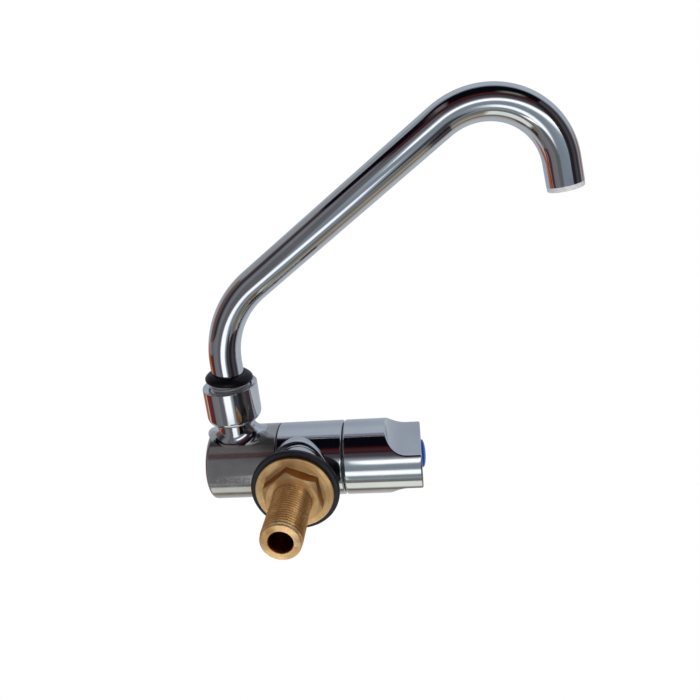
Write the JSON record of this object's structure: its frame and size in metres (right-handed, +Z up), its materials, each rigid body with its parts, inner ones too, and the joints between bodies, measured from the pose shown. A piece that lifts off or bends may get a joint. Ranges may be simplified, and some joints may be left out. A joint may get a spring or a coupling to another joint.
{
  "type": "folding caravan tap",
  "caption": "Folding tap with a chrome barrel, a head that folds about the barrel's axis, a swivelling bent spout, a quarter-turn knob and a threaded brass tail.",
  "frame": {"origin": "On the tail's axis, at the underside of the base gasket, where the worktop's face comes.", "axes": "+Z up along the tail, +X along the barrel towards the knob, and the folded spout lies towards -Y."},
  "size_m": [0.1646, 0.1739, 0.0723],
  "materials": {
    "chrome": "polished",
    "brass": "machined",
    "rubber": "matt",
    "black_plastic": "matt",
    "steel": "satin",
    "ceramic": "lapped",
    "clear_plastic": "translucent",
    "blue_plastic": "gloss"
  },
  "bodies": {
    "tap_body": {"valve_body": "chrome", "inlet_stem": "brass", "base_gasket": "rubber", "fold_journal": "brass", "journal_seals": "rubber", "fold_washer": "black_plastic", "cartridge_body": "brass", "seat_seal": "rubber", "fixed_disc": "ceramic", "dust_ring": "black_plastic"},
    "fold_head": {"fold_head": "chrome", "stop_screw": "steel", "spout_clip": "steel"},
    "spout": {"spout_tube": "chrome", "spout_ferrule": "chrome", "spigot_seal": "rubber", "top_ring": "rubber", "outlet_insert": "clear_plastic"},
    "knob": {"knob": "chrome", "spindle": "brass", "moving_disc": "ceramic", "spindle_seal": "rubber", "spindle_clip": "steel", "knob_screw": "steel", "index_cap": "blue_plastic"},
    "backnut": {"backnut": "brass"}
  },
  "joints": [
    {"name": "fold", "type": "hinge", "parent": "tap_body", "child": "fold_head", "pos_m": [-0.0175, 0, 0.0249], "axis": [-1, 0, 0], "range_deg": [0, 90]},
    {"name": "swivel", "type": "hinge", "parent": "fold_head", "child": "spout", "pos_m": [-0.029, -0.031, 0.0249], "axis": [0, -1, 0], "continuous": true},
    {"name": "knob_turn", "type": "hinge", "parent": "tap_body", "child": "knob", "pos_m": [0.025, 0, 0.0249], "axis": [1, 0, 0], "range_deg": [0, 90]},
    {"name": "nut_travel", "type": "slide", "parent": "tap_body", "child": "backnut", "axis": [0, 0, -1], "range_m": [0, 0.02]}
  ]
}
